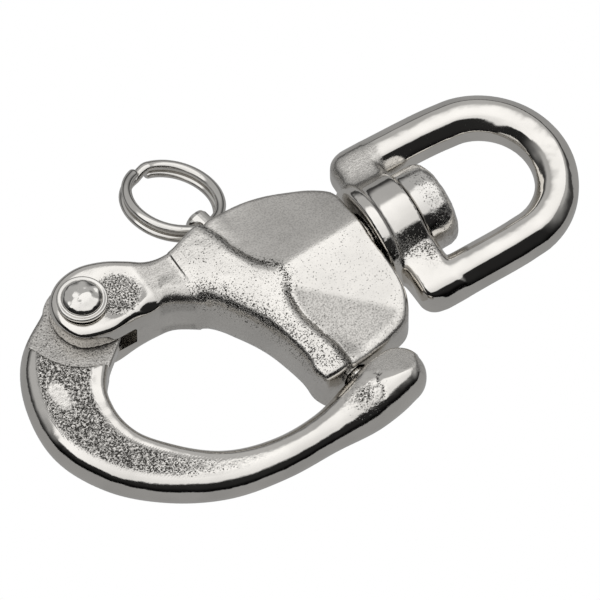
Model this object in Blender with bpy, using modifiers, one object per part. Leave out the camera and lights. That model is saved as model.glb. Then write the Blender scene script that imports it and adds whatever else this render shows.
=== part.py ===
"""Swivel snap shackle, 70 mm long, in 316 stainless steel.

A cast body carries a hinged jaw on a rivet at one end and a swivelling D-shaped bail on a
peened stud at the other.  A spring-loaded plunger crosses the body, its nose holds the jaw's
tip shut, and a split ring through the plunger's tail pulls it back.

The design frame lies in the shackle's middle plane: x runs along the swivel axis towards the
bail, y towards the pull ring, z up.  Numbers in the tables are millimetres in that frame.
"""

import math

import bmesh
import bpy
from mathutils import Matrix, Vector

MM = 0.001

# Overall box of the shackle in the design frame: the whole model is moved by these, so that
# the world origin is at the middle of the box's lower face.
BOX_MIDDLE_X = -10.08
BOX_MIDDLE_Y = 0.51
BOX_BOTTOM_Z = -6.3

# Clearance between neighbouring pieces.
GAP = 0.3

# Hinge between body and jaw.
HINGE_X = -33.1
HINGE_Y = 8.25
LUG_RADIUS = 4.5
SLOT_THICKNESS = 2.9
SLOT_RADIUS = 6.3
TONGUE_THICKNESS = SLOT_THICKNESS - 2 * GAP
TONGUE_RADIUS = 5.3
SHOULDER_RADIUS = 7.4
RIVET_RADIUS = 1.9
RIVET_HEAD_RADIUS = 2.95
RIVET_HEAD_HEIGHT = 1.5
RIVET_HOLE_RADIUS = RIVET_RADIUS + GAP

# Heights of the body's upper face above the middle plane; the lower face mirrors it.
ARM_HEIGHT = 4.1
ROOF_HEIGHT = 5.45
ROOF_FALL = 0.115
ROOF_SLOPE_RING_SIDE = 0.2
ROOF_SLOPE_TIP_SIDE = 0.235
RIDGE_SHOULDER = 1.6
EDGE_HEIGHT = 2.1
SEAT_X = -1.5

# Plunger, measured along its axis from the point where that axis crosses y = 0.
PLUNGER_X = -13.4
PLUNGER_TILT = math.radians(9.3)
PLUNGER_ROLL = math.radians(22)
PIN_RADIUS = 1.45
NOSE_RADIUS = 1.2
COLLAR_RADIUS = 1.9
BORE_RADIUS = 2.2
BORE_COVER_RADIUS = 2.75
GUIDE_COVER_RADIUS = 2.3
GUIDE_RADIUS = NOSE_RADIUS + GAP
BORE_END = 2.6
COLLAR_FROM = 0.6
COLLAR_TO = 2.2
NOSE_END = 17.0
SOCKET_END = 17.8
TAIL_END = -13.1
CROSS_HOLE_AT = -11.15
CROSS_HOLE_RADIUS = 1.22
BUSH_FROM = -9.6
BUSH_TO = -7.2
BUSH_RADIUS = BORE_RADIUS - 0.2
BUSH_HOLE_RADIUS = PIN_RADIUS + 0.28
SPRING_WIRE = 0.3
SPRING_RADIUS = 1.79
SPRING_TURNS = 7

# Split ring.
RING_RADIUS = 5.43
RING_WIRE = 1.24
RING_FLATNESS = 0.8
RING_PITCH = 1.2
RING_STEP_HALF = math.radians(10)
RING_SET_IN = 0.18
RING_DROOP = math.radians(5)

# Flank of the body that the jaw's tip closes on, and the machined face of the tip.
FLANK_START = (-6.04, -13.22)
FLANK_END = (-15.39, -14.85)
TIP_CLEARANCE = 0.4

# Bail and its swivel stud, on the x axis.
BAIL_OFFSET = -0.65
BAR_BOTTOM = 0.35
BAR_TOP = 5.4
BAR_HALF_WIDTH = 11.0
BAR_THICKNESS = 5.2
BOSS_TOP = 4.7
BOSS_BOTTOM = -0.7
LEG_RADIUS = 2.65
CROWN_RADIUS = 2.6
LEG_FOOT = (3.0, 8.9)
LEG_HEAD = (14.4, 8.6)
CROWN_REACH = 8.2
BOSS_RADIUS = 5.65
FLANGE_RADIUS = 6.3
STUD_RADIUS = 2.9
STUD_HOLE_RADIUS = STUD_RADIUS + GAP
STUD_END = -7.2
STUD_HEAD_RADIUS = 5.05
STUD_HEAD_FROM = BOSS_TOP + GAP
SEAT_RADIUS = STUD_HEAD_RADIUS + GAP
STUD_HEAD_TO = 9.4

# Plan outline of the body, anticlockwise from the seat of the swivel.
BODY_OUTLINE = (
    (SEAT_X, 2.5),
    (-1.7, 5.75),
    (-3.2, 7.4),
    (-5.6, 8.85),
    (-8.0, 9.9),
    (-11.4, 10.6),
    (-14.6, 10.5),
    (-16.8, 10.0),
    (-19.1, 9.3),
    (-21.3, 8.65),
    (-22.8, 8.65),
    (-24.3, 9.2),
    (-25.9, 10.35),
    (-28.3, 11.8),
    (-31.5, 12.65),
    (-34.2, 12.1),
    (-36.3, 10.2),
    (-36.85, 7.4),
    (-35.6, 4.6),
    (-33.0, 3.5),
    (-29.0, 3.3),
    (-26.6, 3.3),
    (-24.6, 3.1),
    (-22.85, 2.15),
    (-21.1, 0.8),
    (-19.3, -1.7),
    (-17.75, -4.5),
    (-16.65, -7.8),
    (-16.1, -10.7),
    (-15.65, -13.35),
    (-15.0, -14.4),
    (-14.1, -14.5),
    (-11.0, -14.08),
    (-8.0, -13.56),
    (-5.6, -13.15),
    (-3.0, -12.2),
    (-1.5, -9.9),
    (-1.2, -6.9),
    (SEAT_X, -2.5),
)

# Crest of the broad ridge over the plunger: x, y, height.
RIDGE_CREST = (
    (-13.6, -16.5, 3.3),
    (-14.1, -11.0, 3.8),
    (-14.4, -7.0, 4.05),
    (-15.4, -3.5, 4.2),
    (-17.2, 1.0, 4.45),
    (-18.4, 5.0, 4.6),
    (-18.9, 12.0, 4.45),
)

# The valley between that ridge and the roof: x, y from the ring side to the flank.
VALLEY = (
    (-16.9, 13.5),
    (-16.2, 10.2),
    (-15.2, 7.7),
    (-14.5, 4.9),
    (-13.3, 2.6),
    (-11.6, 0.8),
    (-11.5, -1.2),
    (-12.5, -3.6),
    (-12.7, -5.6),
    (-12.1, -8.4),
    (-11.4, -11.2),
    (-11.3, -16.0),
)

# Jaw, from the hinge round to the tip: x, y, width, half thickness, and how far the rounding
# reaches in from the outer side and from the opening side.
JAW_STATIONS = (
    (-34.2, 7.0, 8.9, 2.6, 2.4, 1.1),
    (-38.15, 3.9, 10.0, 2.6, 2.5, 1.1),
    (-40.55, -0.77, 9.05, 2.6, 2.6, 1.0),
    (-40.95, -4.3, 8.6, 2.6, 2.6, 1.0),
    (-39.45, -9.4, 7.3, 2.6, 2.6, 1.1),
    (-35.67, -13.83, 6.35, 2.55, 2.6, 1.3),
    (-30.32, -17.3, 5.35, 2.4, 2.5, 1.8),
    (-24.0, -18.75, 4.7, 2.3, 2.3, 2.2),
    (-17.6, -18.7, 4.75, 2.45, 2.35, 2.3),
    (-12.2, -18.05, 6.3, 3.1, 3.0, 2.6),
    (-8.6, -17.25, 6.6, 3.2, 3.1, 2.6),
    (-7.15, -16.95, 6.3, 3.15, 3.0, 2.6),
)

STEEL = (0.76, 0.74, 0.71)


def clear_scene():
    for obj in list(bpy.data.objects):
        bpy.data.objects.remove(obj, do_unlink=True)


def new_collection(name):
    collection = bpy.data.collections.new(name)
    bpy.context.scene.collection.children.link(collection)
    return collection


def steel(name, roughness, shade=1.0):
    """A stainless steel material; shade darkens or lightens the colour."""
    material = bpy.data.materials.new(name)
    material.use_nodes = True
    shader = material.node_tree.nodes["Principled BSDF"]
    shader.inputs["Base Color"].default_value = (*(shade * c for c in STEEL), 1.0)
    shader.inputs["Metallic"].default_value = 1.0
    shader.inputs["Roughness"].default_value = roughness
    return material


# ---------------------------------------------------------------- geometry helpers


def hermite(points, per_span):
    """Points on a smooth curve through all the given tuples, spaced by chord length."""
    points = [Vector(p) for p in points]
    chords = [(b - a).xy.length for a, b in zip(points, points[1:])]
    tangents = [(points[1] - points[0]) / chords[0]]
    for i in range(1, len(points) - 1):
        before = (points[i] - points[i - 1]) / chords[i - 1]
        after = (points[i + 1] - points[i]) / chords[i]
        tangents.append((before * chords[i] + after * chords[i - 1]) / (chords[i] + chords[i - 1]))
    tangents.append((points[-1] - points[-2]) / chords[-1])
    curve = []
    for i, chord in enumerate(chords):
        for k in range(per_span):
            t = k / per_span
            value = (2 * t**3 - 3 * t**2 + 1) * points[i] + (3 * t**2 - 2 * t**3) * points[i + 1]
            value += chord * (t**3 - 2 * t**2 + t) * tangents[i]
            value += chord * (t**3 - t**2) * tangents[i + 1]
            curve.append(value)
    curve.append(points[-1])
    return curve


def superellipse(half_width, half_height, squareness, count):
    """Section points, with a flat facet square on each axis."""
    points = []
    for k in range(count):
        angle = (k + 0.5) * math.tau / count
        c, s = math.cos(angle), math.sin(angle)
        across = math.copysign(abs(c) ** (2 / squareness), c) * half_width
        up = math.copysign(abs(s) ** (2 / squareness), s) * half_height
        points.append((across, up))
    return points


def flat_section(width, half_height, outer, inner, count):
    """Section points of a flat bar whose two sides are rounded differently."""
    points = []
    for k in range(count):
        angle = (k + 0.5) * math.tau / count
        c, s = math.cos(angle), math.sin(angle)
        reach = outer if c > 0 else inner
        rise = min(reach, half_height)
        across = math.copysign(width / 2 - reach, c) + reach * c
        points.append((across, math.copysign(half_height - rise, s) + rise * s))
    return points


def finish_object(name, mesh, collection, material=None):
    obj = bpy.data.objects.new(name, mesh)
    collection.objects.link(obj)
    obj.parent = FRAME
    if material:
        mesh.materials.append(material)
        mesh.shade_smooth()
        mesh.set_sharp_from_angle(angle=math.radians(32))
    if collection is CUTTERS:
        obj.hide_render = True
        obj.display_type = "WIRE"
    return obj


def mesh_from_bmesh(name, bm):
    bmesh.ops.recalc_face_normals(bm, faces=bm.faces)
    mesh = bpy.data.meshes.new(name)
    bm.to_mesh(mesh)
    bm.free()
    return mesh


def loft(name, stations, section, count):
    """A closed solid through sections square to a path in the middle plane."""
    bm = bmesh.new()
    rings = []
    for i, (x, y, *sizes) in enumerate(stations):
        before, after = stations[max(i - 1, 0)], stations[min(i + 1, len(stations) - 1)]
        along = Vector((after[0] - before[0], after[1] - before[1])).normalized()
        across = Vector((along.y, -along.x))
        ring = []
        for a, up in section(*sizes, count):
            ring.append(bm.verts.new(Vector((x + across.x * a, y + across.y * a, up)) * MM))
        rings.append(ring)
    for lower, upper in zip(rings, rings[1:]):
        for k in range(count):
            m = (k + 1) % count
            bm.faces.new((lower[k], lower[m], upper[m], upper[k]))
    bm.faces.new(rings[0])
    bm.faces.new(rings[-1])
    return mesh_from_bmesh(name, bm)


def turned(name, profile, steps, collection, material=None):
    """A turned solid about its own z axis; the profile runs from the top down, in mm."""
    mesh = bpy.data.meshes.new(name)
    points = [(radius * MM, 0.0, height * MM) for radius, height in profile]
    mesh.from_pydata(points, [(i, i + 1) for i in range(len(points) - 1)], [])
    obj = finish_object(name, mesh, collection, material)
    screw = obj.modifiers.new("turn", "SCREW")
    screw.axis = "Z"
    screw.steps = steps
    screw.render_steps = steps
    screw.use_merge_vertices = True
    screw.merge_threshold = 0.00001
    return obj


def cylinder(name, radius, low, high, collection, material=None, segments=32):
    """A cylinder along its own z axis between two heights, in mm."""
    bm = bmesh.new()
    bmesh.ops.create_cone(
        bm,
        cap_ends=True,
        segments=segments,
        radius1=radius * MM,
        radius2=radius * MM,
        depth=(high - low) * MM,
        matrix=Matrix.Translation((0, 0, (high + low) / 2 * MM)),
    )
    return finish_object(name, mesh_from_bmesh(name, bm), collection, material)


def box(name, low, high, collection):
    bm = bmesh.new()
    low, high = Vector(low) * MM, Vector(high) * MM
    size = Matrix.Diagonal((*(high - low), 1.0))
    bmesh.ops.create_cube(bm, size=1.0, matrix=Matrix.Translation((low + high) / 2) @ size)
    return finish_object(name, mesh_from_bmesh(name, bm), collection)


def aim(obj, point, direction, roll=0.0):
    """Puts the object's own z axis through a point in mm, along a direction."""
    turn = Vector(direction).to_track_quat("Z", "Y").to_matrix().to_4x4()
    obj.matrix_local = Matrix.Translation(Vector(point) * MM) @ turn @ Matrix.Rotation(roll, 4, "Z")
    return obj


def boolean(obj, operation, other):
    modifier = obj.modifiers.new(f"{operation.lower()} {other.name}", "BOOLEAN")
    modifier.operation = operation
    modifier.object = other
    modifier.solver = "EXACT"


def wire(name, points, radius, material):
    """A round wire through points in mm, with closed ends."""
    curve = bpy.data.curves.new(name, "CURVE")
    curve.dimensions = "3D"
    curve.bevel_depth = radius * MM
    curve.bevel_resolution = 2
    curve.use_fill_caps = True
    spline = curve.splines.new("POLY")
    spline.points.add(len(points) - 1)
    for target, point in zip(spline.points, points):
        target.co = (*(Vector(point) * MM), 1.0)
    curve.materials.append(material)
    obj = bpy.data.objects.new(name, curve)
    PARTS.objects.link(obj)
    obj.parent = FRAME
    return obj


def move_origin(obj, point):
    """Moves the object's origin to a point in mm without moving its shape."""
    shift = Vector(point) * MM
    obj.data.transform(Matrix.Translation(-shift))
    obj.location = shift


# ---------------------------------------------------------------- the plunger's axis

PLUNGER_POINT = (PLUNGER_X, 0.0, 0.0)
PLUNGER_AXIS = Vector((math.sin(PLUNGER_TILT), -math.cos(PLUNGER_TILT), 0.0))


def on_plunger(distance):
    """The point on the plunger's axis at a distance towards its nose, in mm."""
    return Vector(PLUNGER_POINT) + PLUNGER_AXIS * distance


# ---------------------------------------------------------------- body


def smooth_max(a, b, blend):
    return 0.5 * (a + b + math.hypot(a - b, blend))


def beside(path, x, y):
    """The nearest place on a path, and the distance to its left."""
    best = None
    for start, end in zip(path, path[1:]):
        run = Vector(end) - Vector(start)
        flat = run.xy
        share = (Vector((x, y)) - Vector(start).xy).dot(flat) / flat.length_squared
        place = Vector(start) + run * min(max(share, 0.0), 1.0)
        away = Vector((x, y)) - place.xy
        if best is None or away.length < best[0]:
            best = (away.length, place, math.copysign(away.length, flat.x * away.y - flat.y * away.x))
    return best[1], best[2]


def ridge_height(x, y):
    """Height of the broad ridge over the plunger, with a steep shoulder down to the roof."""
    place, across = beside(RIDGE_CREST, x, y)
    if across < 0:
        fall = across**2 / 60
    elif y < -1:
        fall = 5 - math.sqrt(max(5**2 - across**2, 0.0))
    else:
        fall = across**2 / 30
    _, past_valley = beside(VALLEY, x, y)
    into = max(RIDGE_SHOULDER + past_valley, 0.0)
    drop = RIDGE_SHOULDER - math.sqrt(max(RIDGE_SHOULDER**2 - min(into, RIDGE_SHOULDER) ** 2, 0.0))
    drop += 3 * max(into - RIDGE_SHOULDER, 0.0)
    return max(place.z - fall - drop, 0.0)


def bore_cover(x, y):
    """Height of the round wall that covers the plunger's bore."""
    offset = Vector((x, y, 0.0)) - Vector(PLUNGER_POINT)
    radius = BORE_COVER_RADIUS if offset.dot(PLUNGER_AXIS) < BORE_END + 1 else GUIDE_COVER_RADIUS
    return math.sqrt(max(radius**2 - offset.cross(PLUNGER_AXIS).length_squared, 0.0))


def body_height(x, y):
    """Height of the body's upper face above the middle plane."""
    slope = ROOF_SLOPE_TIP_SIDE
    if y > 0:
        slope = ROOF_SLOPE_RING_SIDE + 0.016 * min(max(x + 12, 0.0), 12.0)
    fall = ROOF_FALL * (SEAT_X - x) + 0.0045 * max(-5 - x, 0.0) ** 1.5
    roof = ROOF_HEIGHT - fall - slope * (math.hypot(y, 0.7) - 0.7)
    roof = max(roof, EDGE_HEIGHT)
    arm = ARM_HEIGHT - 0.9 * max(x + 21.6, 0.0)
    height = smooth_max(roof, ridge_height(x, y), 0.28)
    height = smooth_max(height, arm, 0.2)
    height = smooth_max(height, bore_cover(x, y), 0.6)
    if x < -21.6:
        height = min(height, ARM_HEIGHT + 0.05)
    return max(height, EDGE_HEIGHT)


def edge_drop(x, y, outline):
    """How far the rounded edge takes the upper face down, near the outline."""
    away = min(distance_to_span(x, y, a, b) for a, b in zip(outline, outline[1:] + outline[:1]))
    inner = 1 if -31 < x < -15 and -13 < y < 6.5 + 0.3 * (x + 22) else 0
    radius = 1.8 if inner else 0.5
    if y < -12:
        radius = 0.2
    reach = max(radius - away, 0.0)
    return radius - math.sqrt(radius**2 - reach**2)


def distance_to_span(x, y, start, end):
    """Distance from a point to a straight span between two others."""
    run = Vector(end) - Vector(start)
    share = (Vector((x, y)) - Vector(start)).dot(run) / run.length_squared
    nearest = Vector(start) + run * min(max(share, 0.0), 1.0)
    return (Vector((x, y)) - nearest).length


def make_body(material):
    curve = bpy.data.curves.new("body outline", "CURVE")
    curve.dimensions = "2D"
    curve.fill_mode = "BOTH"
    curve.extrude = MM
    curve.resolution_u = 3
    spline = curve.splines.new("BEZIER")
    spline.bezier_points.add(len(BODY_OUTLINE) - 1)
    for target, (x, y) in zip(spline.bezier_points, BODY_OUTLINE):
        target.co = (x * MM, y * MM, 0.0)
        target.handle_left_type = target.handle_right_type = "AUTO"
    spline.use_cyclic_u = True
    outline = bpy.data.objects.new("body outline", curve)
    PARTS.objects.link(outline)
    graph = bpy.context.evaluated_depsgraph_get()
    slab = bpy.data.meshes.new_from_object(outline.evaluated_get(graph))
    bpy.data.objects.remove(outline)

    bm = bmesh.new()
    bm.from_mesh(slab)
    bmesh.ops.remove_doubles(bm, verts=bm.verts, dist=0.01 * MM)
    cuts = [(Vector((1, 0, 0)), x) for x in range(-37, 0)]
    cuts += [(Vector((0, 1, 0)), y) for y in range(-14, 13)]
    for normal, place in cuts:
        everything = list(bm.verts) + list(bm.edges) + list(bm.faces)
        bmesh.ops.bisect_plane(bm, geom=everything, plane_co=normal * place * MM, plane_no=normal)
    bmesh.ops.triangulate(bm, faces=[f for f in bm.faces if len(f.verts) > 4])
    for vert in bm.verts:
        x, y = vert.co.x / MM, vert.co.y / MM
        height = body_height(x, y) - edge_drop(x, y, BODY_OUTLINE)
        vert.co.z = math.copysign(height * MM, vert.co.z)
    body = finish_object("body", mesh_from_bmesh("body", bm), PARTS, material)

    hinge = (HINGE_X, HINGE_Y, 0.0)
    slot = cylinder("slot cutter", SLOT_RADIUS, -SLOT_THICKNESS / 2, SLOT_THICKNESS / 2, CUTTERS)
    rivet_hole = cylinder("rivet hole cutter", RIVET_HOLE_RADIUS, -9, 9, CUTTERS)
    for cutter in (slot, rivet_hole):
        aim(cutter, hinge, (0, 0, 1))
        boolean(body, "DIFFERENCE", cutter)
    bore = cylinder("spring bore cutter", BORE_RADIUS, -16, BORE_END, CUTTERS)
    guide = cylinder("guide cutter", GUIDE_RADIUS, 0, 20, CUTTERS)
    for cutter in (bore, guide):
        aim(cutter, PLUNGER_POINT, PLUNGER_AXIS)
        boolean(body, "DIFFERENCE", cutter)
    socket = cylinder("stud socket cutter", STUD_HOLE_RADIUS, STUD_END - GAP, 4, CUTTERS)
    aim(socket, (0, 0, 0), (1, 0, 0))
    boolean(body, "DIFFERENCE", socket)
    return body


# ---------------------------------------------------------------- jaw


def make_jaw(material):
    stations = [tuple(station) for station in hermite(JAW_STATIONS, 4)]
    x, y, width, half_height, outer, inner = stations[-1]
    along = Vector((x - stations[-2][0], y - stations[-2][1])).normalized()
    for degrees in (25, 48, 68, 82):
        share = math.cos(math.radians(degrees))
        ahead = width / 2 * math.sin(math.radians(degrees))
        sizes = (width * share, half_height * share**0.6, outer * share, inner * share)
        stations.append((x + along.x * ahead, y + along.y * ahead, *sizes))
    jaw = finish_object("jaw", loft("jaw", stations, flat_section, 16), PARTS, material)
    move_origin(jaw, (HINGE_X, HINGE_Y, 0.0))
    hinge = (HINGE_X, HINGE_Y, 0.0)
    half = TONGUE_THICKNESS / 2
    tongue = aim(cylinder("tongue", TONGUE_RADIUS, -half, half, CUTTERS), hinge, (0, 0, 1))
    boolean(jaw, "UNION", tongue)
    for name, low, high in (("upper", half, 6), ("lower", -6, -half)):
        relief = cylinder(f"{name} relief cutter", SHOULDER_RADIUS, low, high, CUTTERS, segments=64)
        aim(relief, hinge, (0, 0, 1))
        boolean(jaw, "DIFFERENCE", relief)
    rivet_hole = cylinder("jaw rivet hole cutter", RIVET_HOLE_RADIUS, -9, 9, CUTTERS)
    boolean(jaw, "DIFFERENCE", aim(rivet_hole, hinge, (0, 0, 1)))

    start, end = Vector((*FLANK_START, 0.0)), Vector((*FLANK_END, 0.0))
    along = (end - start).normalized()
    length = (end - start).length
    face = box("tip face cutter", (-6, -TIP_CLEARANCE, -6), (length + 1, 4, 6), CUTTERS)
    face.matrix_local = Matrix.Translation(start * MM) @ Matrix.Rotation(
        math.atan2(along.y, along.x), 4, "Z"
    ) @ Matrix.Diagonal((1, -1, 1, 1))
    boolean(jaw, "DIFFERENCE", face)
    socket = cylinder("nose socket cutter", GUIDE_RADIUS, 10, SOCKET_END, CUTTERS)
    boolean(jaw, "DIFFERENCE", aim(socket, PLUNGER_POINT, PLUNGER_AXIS))
    return jaw


def make_rivet(material):
    """A round-headed rivet, peened to the same form underneath."""
    seat = ARM_HEIGHT + GAP
    top = seat + RIVET_HEAD_HEIGHT
    dome = [
        (0.0, top),
        (1.2, top - 0.12),
        (2.0, top - 0.5),
        (2.35, top - 0.95),
        (RIVET_HEAD_RADIUS, top - 1.05),
        (RIVET_HEAD_RADIUS, seat),
        (RIVET_RADIUS, seat),
    ]
    profile = dome + [(radius, -height) for radius, height in reversed(dome)]
    rivet = turned("hinge_rivet", profile, 24, PARTS, material)
    return aim(rivet, (HINGE_X, HINGE_Y, 0.0), (0, 0, 1))


# ---------------------------------------------------------------- plunger, spring, ring


def make_plunger(material):
    """The profile runs from the nose down to the tail."""
    profile = [
        (0.0, NOSE_END),
        (0.7, NOSE_END),
        (NOSE_RADIUS, NOSE_END - 0.6),
        (NOSE_RADIUS, COLLAR_TO),
        (COLLAR_RADIUS, COLLAR_TO),
        (COLLAR_RADIUS, COLLAR_FROM),
        (PIN_RADIUS, COLLAR_FROM),
        (PIN_RADIUS, TAIL_END + 0.7),
        (1.25, TAIL_END + 0.25),
        (0.7, TAIL_END),
        (0.0, TAIL_END),
    ]
    plunger = turned("plunger", profile, 24, PARTS, material)
    aim(plunger, PLUNGER_POINT, PLUNGER_AXIS)
    hole = cylinder("cross hole cutter", CROSS_HOLE_RADIUS, -4, 4, CUTTERS, segments=24)
    boolean(plunger, "DIFFERENCE", aim(hole, on_plunger(CROSS_HOLE_AT), ring_hinge()))
    return plunger


def make_bush(material):
    """The plain bush that closes the spring's bore round the plunger's tail."""
    profile = [
        (BUSH_HOLE_RADIUS, BUSH_TO),
        (BUSH_RADIUS, BUSH_TO),
        (BUSH_RADIUS, BUSH_FROM),
        (BUSH_HOLE_RADIUS, BUSH_FROM),
        (BUSH_HOLE_RADIUS, BUSH_TO),
    ]
    bush = turned("plunger_bush", profile, 24, PARTS, material)
    return aim(bush, PLUNGER_POINT, PLUNGER_AXIS)


def make_spring(material):
    """An open coil between the bush and the plunger's collar."""
    low = BUSH_TO + GAP + SPRING_WIRE / 2
    high = COLLAR_FROM - GAP - SPRING_WIRE / 2
    across = PLUNGER_AXIS.cross(Vector((0, 0, 1)))
    points = []
    count = 12 * SPRING_TURNS
    for k in range(count + 1):
        angle = math.tau * k / 12
        radial = across * math.cos(angle) + Vector((0, 0, 1)) * math.sin(angle)
        points.append(on_plunger(low + (high - low) * k / count) + radial * SPRING_RADIUS)
    return wire("plunger_spring", points, SPRING_WIRE / 2, material)


def ring_hinge():
    """Direction of the tail's cross hole: square to the plunger, and rolled about it."""
    level = Vector((math.cos(PLUNGER_TILT), math.sin(PLUNGER_TILT), 0.0))
    return level * math.cos(PLUNGER_ROLL) - Vector((0, 0, 1)) * math.sin(PLUNGER_ROLL)


def ring_outward():
    """Direction from the cross hole to the ring's middle."""
    hinge = ring_hinge()
    upright = hinge.cross(-PLUNGER_AXIS)
    if upright.z < 0:
        upright = -upright
    return -PLUNGER_AXIS * math.cos(RING_DROOP) - upright * math.sin(RING_DROOP)


def make_ring(material):
    """A split ring: two turns of flattened wire side by side, through the tail's cross hole."""
    hinge, outward = ring_hinge(), ring_outward()
    count = 96
    reach = math.tau - RING_STEP_HALF - math.radians(3)
    points = []
    for k in range(count + 1):
        angle = reach * (2 * k / count - 1)
        share = min(max(0.5 + 0.5 * angle / RING_STEP_HALF, 0.0), 1.0)
        rise = RING_PITCH * (share * share * (3 - 2 * share) - 0.5)
        along = RING_RADIUS * (1 + math.cos(angle)) - RING_SET_IN
        points.append((RING_RADIUS * math.sin(angle), along, rise / RING_FLATNESS))
    ring = wire("pull_ring", points, RING_WIRE / 2, material)
    turn = Matrix((hinge, outward, hinge.cross(outward))).transposed().to_4x4()
    at_hole = Matrix.Translation(on_plunger(CROSS_HOLE_AT) * MM)
    ring.matrix_local = at_hole @ turn @ Matrix.Diagonal((1, 1, RING_FLATNESS, 1))
    return ring


# ---------------------------------------------------------------- bail and swivel stud


def bail_offset(x):
    """How far the eye's middle lies from the swivel's axis, a little more at the crown."""
    return BAIL_OFFSET - 0.2 * min(max((x - 10) / 10, 0), 1)


def make_bail(material):
    """The eye is a lofted hoop; the bar and the swivel boss are joined to it."""
    foot_x, foot_y = LEG_FOOT
    head_x, head_y = LEG_HEAD
    side = []
    for k in range(5):
        share = k / 5
        x = foot_x + share * (head_x - foot_x)
        y = foot_y + share * (head_y - foot_y)
        side.append((x, y, LEG_RADIUS, LEG_RADIUS, 2.3))
    arc = 8
    for k in range(arc):
        angle = math.pi / 2 * (k + 0.0) / (arc - 0.5)
        radius = LEG_RADIUS + (CROWN_RADIUS - LEG_RADIUS) * k / arc
        x = head_x + CROWN_REACH * math.sin(angle)
        side.append((x, head_y * math.cos(angle), radius, radius, 2.3))
    hoop = side + [(x, -y, *sizes) for x, y, *sizes in reversed(side)]
    stations = [(x, y + bail_offset(x), *sizes) for x, y, *sizes in hoop]
    bail = finish_object("bail", loft("bail", stations, superellipse, 16), PARTS, material)

    bm = bmesh.new()
    low = Vector((BAR_BOTTOM, BAIL_OFFSET - BAR_HALF_WIDTH, -BAR_THICKNESS / 2)) * MM
    high = Vector((BAR_TOP, BAIL_OFFSET + BAR_HALF_WIDTH, BAR_THICKNESS / 2)) * MM
    size = Matrix.Diagonal((*(high - low), 1.0))
    bmesh.ops.create_cube(bm, size=1.0, matrix=Matrix.Translation((low + high) / 2) @ size)
    corners = [e for e in bm.edges if all(v.co.x < 2 * MM for v in e.verts) and is_upright(e)]
    bmesh.ops.bevel(bm, geom=corners, offset=2.1 * MM, segments=4, affect="EDGES", profile=0.5)
    rims = [e for e in bm.edges if not is_upright(e)]
    bmesh.ops.bevel(bm, geom=rims, offset=0.9 * MM, segments=2, affect="EDGES", profile=0.5)
    bar = finish_object("bail bar", mesh_from_bmesh("bail bar", bm), CUTTERS)
    boolean(bail, "UNION", bar)

    boss_profile = [
        (0.0, BOSS_TOP),
        (BOSS_RADIUS - 0.4, BOSS_TOP),
        (BOSS_RADIUS, BOSS_TOP - 0.4),
        (BOSS_RADIUS + 0.1, 1.4),
        (FLANGE_RADIUS, 0.5),
        (FLANGE_RADIUS, -0.2),
        (FLANGE_RADIUS - 0.5, BOSS_BOTTOM),
        (0.0, BOSS_BOTTOM),
    ]
    boss = turned("bail boss", boss_profile, 32, CUTTERS)
    boolean(bail, "UNION", aim(boss, (0, 0, 0), (1, 0, 0)))
    hole = cylinder("bail hole cutter", STUD_HOLE_RADIUS, -4, 8, CUTTERS)
    seat = cylinder("stud head seat cutter", SEAT_RADIUS, BOSS_TOP, 10, CUTTERS, segments=48)
    for cutter in (hole, seat):
        boolean(bail, "DIFFERENCE", aim(cutter, (0, 0, 0), (1, 0, 0)))
    return bail


def is_upright(edge):
    """Whether an edge runs along z."""
    a, b = edge.verts
    return (a.co - b.co).xy.length < 1e-7


def make_stud(material):
    """The stud that the bail turns on, peened to a flat dome inside the eye."""
    profile = [
        (0.0, STUD_HEAD_TO),
        (2.4, STUD_HEAD_TO - 0.15),
        (4.1, STUD_HEAD_TO - 0.5),
        (STUD_HEAD_RADIUS, STUD_HEAD_TO - 1.1),
        (STUD_HEAD_RADIUS, STUD_HEAD_FROM + 0.3),
        (STUD_HEAD_RADIUS - 0.3, STUD_HEAD_FROM),
        (STUD_RADIUS, STUD_HEAD_FROM),
        (STUD_RADIUS, STUD_END + 0.4),
        (STUD_RADIUS - 0.4, STUD_END),
        (0.0, STUD_END),
    ]
    return aim(turned("swivel_stud", profile, 32, PARTS, material), (0, 0, 0), (1, 0, 0))


# ---------------------------------------------------------------- assembly

clear_scene()
PARTS = new_collection("snap shackle")
CUTTERS = new_collection("cutters")
FRAME = bpy.data.objects.new("shackle frame", None)
PARTS.objects.link(FRAME)

CAST_STEEL = steel("cast steel", 0.28)
POLISHED_STEEL = steel("polished steel", 0.16, 1.05)
TURNED_STEEL = steel("turned steel", 0.3, 0.95)
SPRING_STEEL = steel("spring steel", 0.25, 0.85)

make_body(CAST_STEEL)
make_jaw(CAST_STEEL)
make_rivet(TURNED_STEEL)
make_plunger(TURNED_STEEL)
make_bush(TURNED_STEEL)
make_spring(SPRING_STEEL)
make_ring(SPRING_STEEL)
make_bail(POLISHED_STEEL)
make_stud(TURNED_STEEL)

FRAME.location = Vector((-BOX_MIDDLE_X, -BOX_MIDDLE_Y, -BOX_BOTTOM_Z)) * MM
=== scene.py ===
"""Looks for the swivel snap shackle: finished pieces, materials, light and camera.

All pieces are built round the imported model, in metres in its frame.  Shapes are written in
the design frame, in millimetres: x along the swivel's axis towards the eye, y towards the
pull ring, z up, with its origin on the swivel's axis in the shackle's middle plane.
"""

import math

import bmesh
import bpy
import numpy as np
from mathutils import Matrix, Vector, noise


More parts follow.
